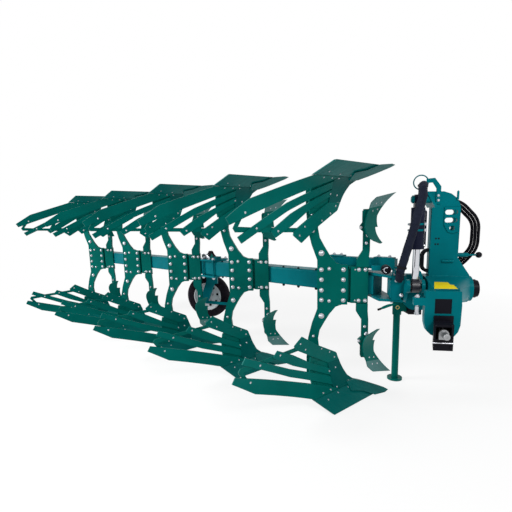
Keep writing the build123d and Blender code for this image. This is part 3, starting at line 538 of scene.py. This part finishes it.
def scatter(name, shape, places, body, finish, scale=1.0):
    """One piece with a copy of the shape at each (point, outward direction, size)."""
    spots = bpy.data.meshes.new(name + "_spots")
    spots.from_pydata([point(place) for place, way, size in places], [], [])
    spots.attributes.new("way", "FLOAT_VECTOR", "POINT")
    spots.attributes.new("size", "FLOAT", "POINT")
    ways, sizes = spots.attributes["way"], spots.attributes["size"]
    for k, (place, way, size) in enumerate(places):
        ways.data[k].vector = Vector(way).normalized()
        sizes.data[k].value = size
    copy = bpy.data.objects.new(name + "_copy", shape)
    bpy.context.scene.collection.objects.link(copy)
    mesh = COPIES.grow(name, spots, finish, Shape=copy, Scale=scale)
    bpy.data.objects.remove(copy)
    return piece(name, mesh, body, finish, drafted=False)


def pipe(name, runs, radius, finish, corner=0.0, step=6.0, sides=12, closed=False):
    """The mesh of round bars along runs of drafting points."""
    meshes = []
    for k, run in enumerate(runs):
        line = bpy.data.meshes.new(name + "_run")
        joins = [(n, n + 1) for n in range(len(run) - 1)] + ([(len(run) - 1, 0)] if closed else [])
        line.from_pydata([Vector(place) * 0.001 for place in run], joins, [])
        meshes.append(PIPE.grow(f"{name}_{k}", line, finish, Radius=radius * 0.001, Corner=corner * 0.001,
                                Step=step * 0.001, Sides=sides))
    return joined(name, meshes)


def ring_run(centre, radius, way=UP, count=24):
    """The points of a ring round a drafting point."""
    turn = Vector(way).to_track_quat("Z", "Y")
    return [tuple(Vector(centre) + turn @ Vector((radius * math.cos(2 * math.pi * k / count),
                                                  radius * math.sin(2 * math.pi * k / count), 0)))
            for k in range(count)]


def every_leg(places):
    """The same places on every leg."""
    return [(tuple(Vector(place) + LEG_STEP * k), way, size) for k in range(BODIES) for place, way, size in places]


def both_sides(places):
    """The places and their mirror images above the beam."""
    return places + [((x, y, -z), (way[0], way[1], -way[2]), size) for (x, y, z), way, size in places]


# ---------------------------------------------------------------- bolts
# a domed bolt head, a hexagon nut on its washer and a countersunk plough bolt, each on a 20 mm head
DOME = turned("dome", [(13, 0), (13, 2), (10, 2), (10, 4.5), (8.8, 7.2), (6, 9), (3, 9.8), (0, 10)], 14)
WASHER = turned("washer", [(13, 0), (13, 2.4), (0, 2.4)], 14)
HEXAGON = turned("hexagon", [(10.6, 2.4), (11.5, 3.2), (11.5, 10.6), (10.4, 11.6), (0, 11.6)], 6)
THREAD = turned("thread", [(5.6, 11.6), (5.6, 15), (4.8, 16), (0, 16)], 10)
NUT = joined("nut", [WASHER, HEXAGON, THREAD])
FLUSH = turned("flush", [(10, -0.2), (10, 0.7), (8.5, 1.5), (4.5, 2.1), (0, 2.3)], 12)


def leg_hardware():
    """The bolts and nuts of the legs, their brackets and the skimmers' plates."""
    heads = ([((0, 0, -238), NEAR, 1.6), ((57, 0, -122), NEAR, 0.95)]
             + [((x, 0, z), NEAR, 1.25) for x in (0, 160) for z in (-115, -40)]
             + [((x, 0, -115), NEAR, 1.05) for x in (270, 316)]
             + [((244, 0, -115), NEAR, 0.45), ((-60, 0, -400), NEAR, 0.9), ((-66, 0, -520), NEAR, 0.9)])
    scatter("leg_bolts", DOME, every_leg(both_sides(heads)), "plough_frame", "zinc_bolt")
    nuts = ([((0, 30, -238), FAR, 1.6)]
            + [((x, 45, z), FAR, 1.25) for x in (0, 160) for z in (-115, -40)]
            + [((x, 15, -115), FAR, 0.9) for x in (270, 316)])
    scatter("leg_nuts", NUT, every_leg(both_sides(nuts)), "plough_frame", "zinc_bolt")
    shank = [((x, -13, z), NEAR, size)
             for x, z, size in ((316, -308, 0.8), (329, -366, 1.3), (277, -420, 0.85), (316, -470, 0.8))]
    scatter("shank_bolts", NUT, every_leg(both_sides(shank)), "plough_frame", "zinc_bolt")


# (along the lines, depth, size) of the plough bolts on the share and breast, on the slats' braces,
# on the slats and on the skimmers
SHARE_BOLTS = [(-243, 807, 0.95), (-172, 780, 0.95), (-101, 778, 0.95), (-150, 753, 0.95),
               (24, 781, 0.85), (-4, 757, 0.85), (66, 757, 0.85), (150, 790, 0.85), (149, 757, 0.85),
               (-10, 659, 0.95), (-85, 651, 0.95)]
BRACE_BOLTS = [(724, 539, 1.0), (645, 443, 1.0), (470, 418, 1.0)]
SLAT_BOLTS = [(-99, 577, 0.95), (-46, 524, 0.95), (49, 474, 0.95), (224, 438, 0.95), (280, 381, 0.95)]
SKIMMER_BOLTS = [(-190, 533, 0.8), (-242, 543, 0.8), (-203, 582, 0.8), (-258, 590, 0.8)]


def board_hardware():
    """The countersunk bolts on the faces of the shares, slats and skimmers, and the nuts on the braces."""
    heads, nuts = [], []
    for surface, bolts in ((board, SHARE_BOLTS + BRACE_BOLTS + SLAT_BOLTS), (skimmer, SKIMMER_BOLTS)):
        for u, depth, size in bolts:
            for side in (-1, 1):
                place, way = surface(u, depth, side)
                heads.append((tuple(place), tuple(way), size * 0.74))
    for u, depth, size in BRACE_BOLTS:
        for side in (-1, 1):
            place, way = board(u, depth, side)
            nuts.append((tuple(place - way * 17.0), tuple(-way), size * 0.8))
    scatter("board_bolts", FLUSH, every_leg(heads), "plough_frame", "zinc_bolt")
    scatter("brace_nuts", NUT, every_leg(nuts), "plough_frame", "zinc_bolt")


# ---------------------------------------------------------------- welds and beam fittings
def welds():
    """Weld beads along the seams of the leg brackets and of the headstock."""
    bracket_ends = [Vector((*on_beam(x, BEAM_OFFSET - BEAM_HALF), 0)) for x in (-31, 248)]
    seams = []
    for k in range(BODIES):
        rear, front = (place + LEG_STEP * k for place in bracket_ends)
        for place in (rear, front):
            seams.append([tuple(place + Vector((0, 0, z))) for z in (-BEAM_HALF, BEAM_HALF)])
        for z in (-BEAM_HALF - 1, BEAM_HALF + 1):
            seams.append([tuple(place + Vector((0, 0, z))) for place in (rear, front)])
    piece("bracket_welds", pipe("bracket_welds", seams, 4.0, "body_paint", step=40.0, sides=8), "plough_frame",
          "body_paint")
    mast_feet = [[(718, y, 90), (830, y, 90), (960, y, 86)] for y in (MAST_NEAR, MAST_FAR)]
    mast_edge = [(716, MAST_NEAR + 12, 100), (716, MAST_NEAR + 12, 540)]
    side_plates = [[(690, y, 51), (822, y, 51)] for y in (-401, 227)]
    doubler = [(x, MAST_NEAR - 1, z) for x, z in ((792, 541), (792, 430), (818, 382), (852, 374), (882, 384))]
    seams = [*mast_feet, mast_edge, *side_plates, doubler]
    piece("headstock_welds", pipe("headstock_welds", seams, 3.2, "frame_paint", step=30.0, sides=8), "headstock",
          "frame_paint")


def beam_clips():
    """Small clips along the beam's edges and the link bar's bolts."""
    clips = []
    for x in (-337, -201, -49, -1010, -1660):
        place = on_beam(x, BEAM_OFFSET - BEAM_HALF + 14)
        clips += [((*place, -BEAM_HALF), DOWN, 1.0), ((*place, BEAM_HALF), UP, 0.8)]
    scatter("beam_clips", NUT, clips, "plough_frame", "moulded_black")
    bar_offset, bar_top = 240.0, 205.0
    bolts = [((*on_beam(x, bar_offset), bar_top), UP, 1.0) for x in (150, 95, 480, 410)]
    scatter("link_bar_bolts", NUT, bolts, "plough_frame", "zinc_bolt")


# ---------------------------------------------------------------- headstock
def mast_fittings():
    """Bolts of the hose arm, plugs, the step, the ear at the top and the blank label on the roof."""
    arm = [((x, MAST_NEAR - 8, z), NEAR, 0.6) for x, z in ((749, 618), (750, 588))]
    scatter("arm_bolts", DOME, arm, "headstock", "zinc_bolt")
    plugs = [((x, MAST_NEAR, z), NEAR, 0.45) for x, z in ((749, 340), (767, 340), (763, 303), (747, 303))]
    scatter("mast_plugs", DOME, plugs, "headstock", "moulded_black")
    bar = turned("bar", [(4, -1), (8.5, 4), (8.5, 71), (4, 76), (0, 76)], 16)
    step = placed(bar, at(789, MAST_NEAR - 7, 191, FORWARD))
    ear = upright("ear", [(861, 588), (874, 588), (874, 640), (868, 647), (861, 640)], MAST_NEAR - 9, MAST_NEAR)
    piece("mast_step", joined("step", [step, ear]), "headstock", "frame_paint")

    outline = [(716, -266), (794, -270), (797, -318), (815, -322), (818, -398), (685, -398)]
    label = slab("label", outline, 0.0, 0.9, 0.3)
    roof_height, roof_y, roof_fall = 90.0, -150.0, 0.152
    for corner in label.vertices:
        corner.co.z += (roof_height + (corner.co.y * 1000 - roof_y) * roof_fall) * 0.001
    piece("roof_label", label, "headstock", "label_film")


def stop_screw():
    """The turnover stop: a long screw through its lug, with a collar below and a nut above."""
    lug_x, lug_y = 584, -430
    shank = turned("shank", [(9.5, -86), (9.5, 22), (8, 24), (0, 24)], 16)
    head = turned("head", [(12, -103), (15.5, -100), (15.5, -86), (0, -86)], 6)
    collar = turned("collar", [(13, -86), (13, -50), (11, -48), (0, -48)], 16)
    nut = turned("nut", [(15, 6), (16, 7), (16, 17), (15, 18), (0, 18)], 6)
    whole = joined("stop_screw", [shank, head, collar, nut])
    piece("stop_screw", placed(whole, at(lug_x, lug_y, 0)), "headstock", "zinc_bolt")


def link_pin_fittings():
    """Chamfered ends and bright keepers on both lower link pins, and the bolts of their brackets."""
    end = turned("end", [(18.2, -3), (18.2, 0), (14.5, 3.4), (5, 3.9), (5, 1.5), (0, 1.5)], 24)
    keeper = turned("keeper", [(4, -58), (4, 58), (0, 58)], 12)
    ends, bolts, keepers = [], [], []
    for side in (-1, 1):
        ends.append(placed(end, at(705, AXIS_Y + side * 537.5, -180, (0, side, 0))))
        bolts += [((x, AXIS_Y + side * 468.0, z), (0, side, 0), 0.7) for z in (-134, -262) for x in (664, 748)]
        keepers.append(placed(keeper, at(706, AXIS_Y + side * 471.0, -236, FORWARD)))
    piece("link_pin_ends", joined("link_pin_ends", ends), "headstock", "pin_steel")
    scatter("link_bracket_bolts", DOME, bolts, "headstock", "black_iron")
    piece("pin_keepers", joined("pin_keepers", keepers), "headstock", "zinc_bolt")


# ---------------------------------------------------------------- cylinder, sleeve and hoses
SLEEVE_RUN = [(653, -140, 684), (615, -314, 676), (612, -314, 590), (560, -314, 375), (503, -314, 150)]
STUB_RUN = [(523, -154, 68), (517, -224, 137)]
SLEEVE_RADIUS = 27.0


def cloth_sleeve(name, run, body, node, corner=42.0):
    """A loose cloth sleeve with folds and gathers, in place of its plain solid."""
    mesh = pipe(name, [run], SLEEVE_RADIUS - 1.5, "sleeve_cloth", corner=corner, step=4.0, sides=40)
    for vertex in mesh.vertices:
        here = vertex.co * 1000.0
        fold = noise.noise(Vector((here.x * 0.05, here.y * 0.05, here.z * 0.022)))
        gather = noise.noise(Vector((here.x * 0.02, here.y * 0.02, here.z * 0.11 + 7.0)))
        vertex.co += vertex.normal * 0.001 * (3.4 * fold + 2.2 * gather)
    made = piece(name, mesh, body, "sleeve_cloth", 70.0)
    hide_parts(node)


def sleeve_bands():
    """The strap at the sleeve's lower end, and the two clamps round the barrel with the pipe beside it."""
    strap = turned("strap", [(SLEEVE_RADIUS + 1.0, -7), (SLEEVE_RADIUS + 3.0, -6), (SLEEVE_RADIUS + 3.0, 6),
                             (SLEEVE_RADIUS + 1.0, 7)], 30, True)
    piece("sleeve_strap", placed(strap, at(508.5, -314, 172, (0.22, 0, 1))), "headstock", "moulded_black")
    barrel_x, barrel_y = 612, -215
    band = turned("band", [(42.2, -6.5), (45, -6), (45, 6), (42.2, 6.5)], 36, True)
    bands, bolts = [], []
    for z in (440, 402):
        bands += [placed(band, at(barrel_x, barrel_y, z)),
                  block("ears", barrel_x - 62, barrel_x - 40, barrel_y - 26, barrel_y - 12, z - 6, z + 6),
                  block("ears", barrel_x + 30, barrel_x + 47, barrel_y - 44, barrel_y - 32, z - 6, z + 6)]
        bolts += [((barrel_x - 52, barrel_y - 26, z), NEAR, 0.7), ((barrel_x + 39, barrel_y - 44, z), NEAR, 0.7)]
    piece("barrel_bands", joined("barrel_bands", bands), "cylinder_barrel", "frame_paint")
    scatter("band_bolts", NUT, bolts, "cylinder_barrel", "zinc_bolt")
    run = [(x, barrel_y, z) for x, z in ((661, 300), (661, 520), (640, 532))]
    line = pipe("barrel_pipe", [run], 5.5, "barrel_paint", corner=14, step=6)
    port = turned("port", [(9, -10), (9, 10), (7, 12), (0, 12)], 6)
    ports = [placed(port, at(x, barrel_y, z, FORWARD)) for x, z in ((652, 300), (645, 528))]
    piece("barrel_pipe", line, "cylinder_barrel", "barrel_paint")
    piece("barrel_ports", joined("barrel_ports", ports), "cylinder_barrel", "zinc_bolt")


def hose_ends():
    """Pressed ferrules and hexagons where the hoses leave their blocks."""
    hexagon = turned("hexagon", [(9.5, 0), (10.5, 1), (10.5, 11), (9.5, 12), (0, 12)], 6)
    crimp = turned("crimp", [(10.1, 12), (10.4, 14), (10.4, 34), (9.7, 36), (0, 36)], 16)
    ferrule = joined("ferrule", [hexagon, crimp])
    ends = []
    for k in range(3):
        y = MAST_FAR + 10.0 + 16.0 * k
        ends += [((812, y, 590 - 17 * k), FORWARD, 0.98), ((850, y, 130 + 16 * k), FORWARD, 0.98)]
    ends += [((780, y, 594), BACK, 0.9) for y in (MAST_FAR + 11, MAST_FAR + 33)]
    scatter("hose_ferrules", ferrule, ends, "headstock", "zinc_bolt")


# ---------------------------------------------------------------- console
def console_fittings():
    """The accumulator, the pivot's hoop, unions and elbow, the valve block, and the lock lever with its ring."""
    drum_x, drum_z = 437, 136
    drum = turned("drum", [(30, -46), (40, -40), (42, -34), (42, 34), (40, 40), (30, 46), (0, 48)], 36)
    piece("accumulator", placed(drum, at(drum_x, -140, drum_z, FAR, size=0.74)), "plough_frame", "black_iron")
    angles = [math.radians(70 + 22 * k) for k in range(10)]
    rim = [(drum_x + 17 * math.cos(angle), -175, drum_z + 17 * math.sin(angle)) for angle in angles]
    piece("accumulator_hook", pipe("hook", [rim], 4.0, "zinc_bolt", corner=6), "plough_frame", "zinc_bolt")
    hoop = [(x, -146, z) for x, z in ((482, 92), (482, 150), (512, 150), (512, 92))]
    piece("pivot_hoop", pipe("hoop", [hoop], 5.0, "frame_paint", corner=12), "plough_frame", "frame_paint")
    unions = [((549, -128, 93), UP, 1.1), ((492, -128, 93), UP, 0.9), ((556, -150, 30), FORWARD, 1.0),
              ((540, -151, -40), NEAR, 1.0), ((505, -151, 60), NEAR, 0.8)]
    scatter("pivot_unions", NUT, unions, "plough_frame", "zinc_bolt")
    elbow = [(549, y, z) for y, z in ((-128, 104), (-128, 150), (-60, 150), (-60, 96))]
    piece("pivot_elbow", pipe("elbow", [elbow], 9.0, "hose_rubber", corner=24), "plough_frame", "hose_rubber")
    piece("valve_block", block("valve", 352, 424, -66, -30, 116, 152, 3.0), "plough_frame", "frame_paint")
    blade = upright("blade", [(402, -145), (430, -125), (460, -112), (512, -102), (518, -112), (470, -126),
                              (436, -143), (405, -152)], -128, -118, 2.0)
    piece("lock_lever", blade, "plough_frame", "body_paint")
    tip = turned("tip", [(5, -14), (8, -12), (8, 12), (5, 14), (0, 14)], 12)
    piece("lock_lever_tip", placed(tip, at(404, -123, -148, (-1, 0, -0.4))), "plough_frame", "moulded_black")
    loop = pipe("loop", [ring_run((524, -126, -132), 11, NEAR)], 2.8, "brass", closed=True, step=4, sides=10)
    piece("lock_ring", loop, "plough_frame", "brass")


# ---------------------------------------------------------------- parking stand
def stand_fittings():
    """The stand's cross pin with its ring."""
    stand_x, stand_y = 600, 345
    pin = turned("pin", [(7, -52), (8, -50), (8, 50), (7, 52), (0, 52)], 16)
    pin = placed(pin, at(stand_x, stand_y, -200, FORWARD))
    ring = ring_run((stand_x + 60, stand_y, -212), 15, NEAR)
    ring = pipe("ring", [ring], 2.2, "zinc_bolt", closed=True, step=4, sides=8)
    piece("stand_pin", joined("stand_pin", [pin, ring]), "headstock", "zinc_bolt")


# ---------------------------------------------------------------- depth wheel
WHEEL = (-1300.0, 1235.0, -357.0)
TYRE_RADIUS, TYRE_HALF, RIM_RADIUS = 244.0, 55.0, 155.0


def on_wheel(radius, y, start, count):
    """Points evenly round the wheel's axle at this radius, the first one start degrees up from ahead."""
    x, _, z = WHEEL
    angles = [math.radians(start + 360.0 / count * k) for k in range(count)]
    return [(x + radius * math.cos(angle), y, z + radius * math.sin(angle)) for angle in angles]


def wheel_fittings():
    """The rim's lips and dished face with black discs painted as the shade in its holes, the hub's cap and nuts, and
    the ribs of the tyre.
    """
    x, y, z = WHEEL
    lip = turned("lips", [(RIM_RADIUS - 9, 0), (RIM_RADIUS - 7, 5), (RIM_RADIUS - 2, 7), (RIM_RADIUS + 3, 5),
                          (RIM_RADIUS + 3, 0)], 64, True)
    for side, word in ((-1, "near"), (1, "far")):
        piece(f"rim_lip_{word}", placed(lip, at(x, y + side * 46, z, (0, side, 0))), "depth_wheel", "rim_paint")
    dish = turned("dish", [(50, 26), (62, 24), (74, 14), (96, 7), (120, 9), (138, 16), (147, 24), (147, 1), (50, 1)],
                  64, True)
    piece("rim_dish", placed(dish, at(x, y - 6, z, NEAR)), "depth_wheel", "rim_paint")
    # black discs on the dished face stand for the holes: painted shade, not openings
    holes = [(place, NEAR, 1.5) for place in on_wheel(108, y - 14.5, 10, 8)]
    scatter("rim_holes", FLUSH, holes, "depth_wheel", "moulded_black")
    cap = turned("cap", [(46, 0), (46, 4), (40, 8), (34, 10), (30, 22), (20, 28), (0, 30)], 40)
    piece("hub_cap", placed(cap, at(x, y + 43, z, FAR)), "depth_wheel", "black_iron")
    nuts = [(place, NEAR, 0.85) for place in on_wheel(62, y - 30, 18, 5)]
    scatter("wheel_nuts", NUT, nuts, "depth_wheel", "zinc_bolt")
    rib = turned("rib", [(TYRE_RADIUS - 2, -7), (TYRE_RADIUS + 1.8, -5.5), (TYRE_RADIUS + 1.8, 5.5),
                         (TYRE_RADIUS - 2, 7)], 90, True)
    ribs = [placed(rib, at(x, y + across, z, FAR)) for across in (-15.5, 0, 15.5)]
    piece("tread_ribs", joined("tread_ribs", ribs), "depth_wheel", "tyre_rubber")
    beads = [turned("bead", [(radius - 3, -2), (radius - 3, 0), (radius, 2.2), (radius + 3, 0), (radius + 3, -2)],
                    72, True) for radius in (186, 205)]
    for side, word in ((-1, "near"), (1, "far")):
        wall = at(x, y + side * (TYRE_HALF - 1.5), z, (0, side, 0))
        piece(f"tyre_ribs_{word}", joined("ribs", [placed(bead, wall) for bead in beads]), "depth_wheel", "tyre_rubber")


def wheel_clamp_fittings():
    """Nuts on the beam clamp's bolts, and the cheeks, wedge and tab that stand on the beam beside it."""
    along = Vector((*on_beam(-1140.0, BEAM_OFFSET), 0))
    nuts = []
    for run in (-80, 80):
        for across in (-1, 1):
            spot = along + BEAM_DIR * run + BEAM_NRM * (across * (BEAM_HALF + 15))
            nuts += [((spot.x, spot.y, BEAM_HALF + 18), UP, 1.3), ((spot.x, spot.y, -BEAM_HALF - 18), DOWN, 1.3)]
    scatter("clamp_nuts", NUT, nuts, "plough_frame", "zinc_bolt")

    seat = Matrix.Translation((along + BEAM_DIR * 77) * 0.001) @ Matrix.Rotation(-BEAM_ANGLE, 4, "Z")
    cheek = [(-66, 76), (58, 76), (58, 104), (26, 128), (-8, 134), (-52, 148), (-70, 132)]
    cheeks = [placed(upright("cheek", cheek, y, y + 10, 2.0), seat) for y in (-46, 18)]
    bolt = placed(turned("clamp_bolt", [(11, -62), (11, 44), (0, 44)], 16), seat @ at(-14, 0, 112, FAR))
    piece("clamp_cheeks", joined("clamp_cheeks", cheeks + [bolt]), "plough_frame", "zinc_bolt")
    wedge = [(10, 112), (40, 104), (96, 76), (112, 92), (98, 118), (64, 140), (50, 172), (28, 176), (8, 148)]
    wedge = placed(upright("wedge", wedge, -30, 12, 4.0), seat)
    stub = placed(upright("stub", [(-62, 100), (20, 100), (20, 118), (-62, 118)], -26, 10, 3.0), seat)
    piece("clamp_wedge", joined("clamp_wedge", [wedge, stub]), "plough_frame", "black_iron")
    tab = placed(upright("tab", [(66, 88), (100, 88), (98, 128), (78, 150), (66, 132)], -38, -31, 1.5), seat)
    piece("clamp_tab", tab, "plough_frame", "body_paint")


leg_hardware()
board_hardware()
welds()
beam_clips()
mast_fittings()
stop_screw()
link_pin_fittings()
cloth_sleeve("cloth_sleeve", SLEEVE_RUN, "headstock", "hose_sleeve")
cloth_sleeve("cloth_stub", STUB_RUN, "plough_frame", "hose_stub", 0.0)
sleeve_bands()
hose_ends()
console_fittings()
stand_fittings()
wheel_fittings()
wheel_clamp_fittings()


# ---------------------------------------------------------------- ground, light and camera
AMBIENT = 0.41                   # how strongly the white surroundings light the plough


def studio_floor():
    """A pale floor that keeps the plough's shadow and melts into the white surroundings."""
    flat = bpy.data.meshes.new("ground")
    flat.from_pydata([(-60, -60, 0), (60, -60, 0), (60, 60, 0), (-60, 60, 0)], [], [(0, 1, 2, 3)])
    floor = bpy.data.objects.new("ground", flat)
    bpy.context.scene.collection.objects.link(floor)
    pale = Finish("pale_floor", Roughness=0.9, Specular_IOR_Level=0.05)
    pale.feeds(Base_Color=pale.mix(pale.noise(0.8, 2.0), (0.95, 0.95, 0.95), (0.97, 0.97, 0.97)))
    reach = (pale.along("X") ** 2 + pale.along("Y") ** 2) ** 0.5
    clear_of_plough, fade = 2.6, 3.0
    away = ((reach - clear_of_plough) / fade).smaller(1.0).larger(0.0)
    glow = pale.node("ShaderNodeEmission", None, {"Color": (1.0, 1.0, 1.0, 1.0)})
    blend = pale.node("ShaderNodeMixShader", None,
                      {0: away * 0.2 + 0.8, 1: pale.shader.outputs[0], 2: glow.outputs[0]})
    pale.tree.links.new(blend.outputs[0], pale.tree.nodes["Material Output"].inputs[0])
    flat.materials.append(pale.material)


def studio_world():
    """A white world where it is seen or mirrored, and a plain soft light elsewhere."""
    world = bpy.data.worlds.new("studio")
    world.use_nodes = True
    sky = Tree(world.node_tree)
    seen = sky.node("ShaderNodeLightPath").outputs
    white = Value(sky, seen["Is Camera Ray"]).larger(Value(sky, seen["Is Glossy Ray"]))
    white = white.larger(Value(sky, seen["Is Transmission Ray"]))
    background = world.node_tree.nodes["Background"]
    background.inputs[0].default_value = (1.0, 1.0, 1.0, 1.0)
    sky.tree.links.new((white * (1 - AMBIENT) + AMBIENT).socket, background.inputs[1])
    bpy.context.scene.world = world


def studio_lamp(name, place, target, size, power):
    """A round soft lamp at a drafting point, aimed at another."""
    data = bpy.data.lights.new(name, "AREA")
    data.shape = "DISK"
    data.size = size
    data.energy = power
    made = bpy.data.objects.new(name, data)
    made.location = point(place)
    made.rotation_euler = (point(target) - made.location).to_track_quat("-Z", "Y").to_euler()
    bpy.context.scene.collection.objects.link(made)


def studio_camera():
    """A short lens at the height of the headstock, looking back along the plough."""
    tilt, lean, turn = 80.604, 1.521, 11.040
    data = bpy.data.cameras.new("camera")
    data.sensor_width = 36.0
    data.lens = 26.40
    data.shift_y = 0.046875
    data.clip_end = 200.0
    camera = bpy.data.objects.new("camera", data)
    camera.location = point((62.4, -2802.0, 506.7))
    camera.rotation_euler = [math.radians(angle) for angle in (tilt, lean, turn)]
    bpy.context.scene.collection.objects.link(camera)
    bpy.context.scene.camera = camera


bpy.context.scene.view_settings.view_transform = "Standard"
studio_floor()
studio_world()
studio_lamp("key", (2500, -5200, 4200), (-900, 300, 0), 2.4, 240)
studio_lamp("fill", (-6500, -900, 2600), (-1500, 300, 0), 2.6, 420)
studio_camera()
